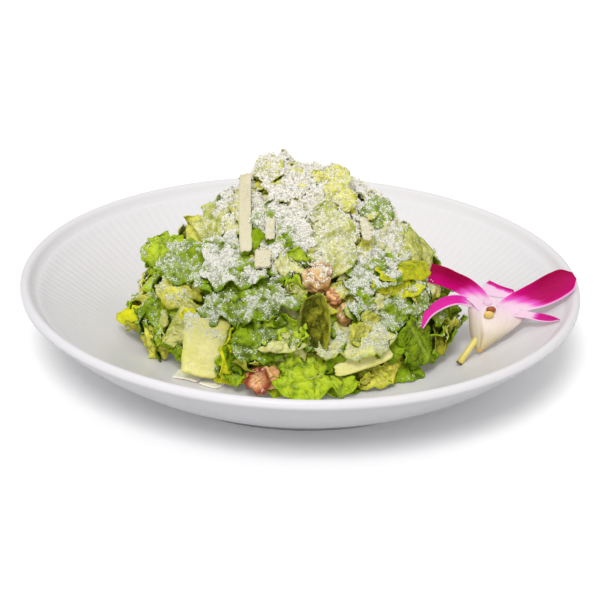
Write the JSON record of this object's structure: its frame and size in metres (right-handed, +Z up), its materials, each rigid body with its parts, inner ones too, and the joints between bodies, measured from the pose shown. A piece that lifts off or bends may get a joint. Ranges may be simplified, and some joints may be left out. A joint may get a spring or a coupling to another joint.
{
  "type": "caesar salad on a deep plate",
  "caption": "Heap of dressed romaine under grated parmesan, with nuts, croutons, cheese shavings and an orchid, on a deep white coupe plate.",
  "frame": {"origin": "on the plate's axis, in the plane of its foot", "axes": "+Z up out of the plate; the front of the dish faces -Y and the orchid lies on its +X side"},
  "size_m": [0.26, 0.26, 0.1],
  "materials": {
    "porcelain": "white glaze, fine radial flutes inside",
    "romaine": "moist leaf under grated cheese",
    "walnut": "toasted, slightly oily",
    "crouton": "dry toasted crumb",
    "parmesan": "dry cut cheese",
    "orchid": "soft satin petal"
  },
  "bodies": {
    "root": {"plate": "porcelain", "salad_heap": "romaine", "walnut_front": "walnut", "walnut_centre": "walnut", "walnut_back": "walnut", "crouton_centre": "crouton", "crouton_small": "crouton", "crouton_back": "crouton", "shaving_long": "parmesan", "shaving_middle": "parmesan", "shaving_right": "parmesan", "shaving_block": "parmesan", "shaving_back": "parmesan", "shaving_plate_left": "parmesan", "shaving_plate_right": "parmesan", "orchid_flower": "orchid"}
  },
  "joints": []
}
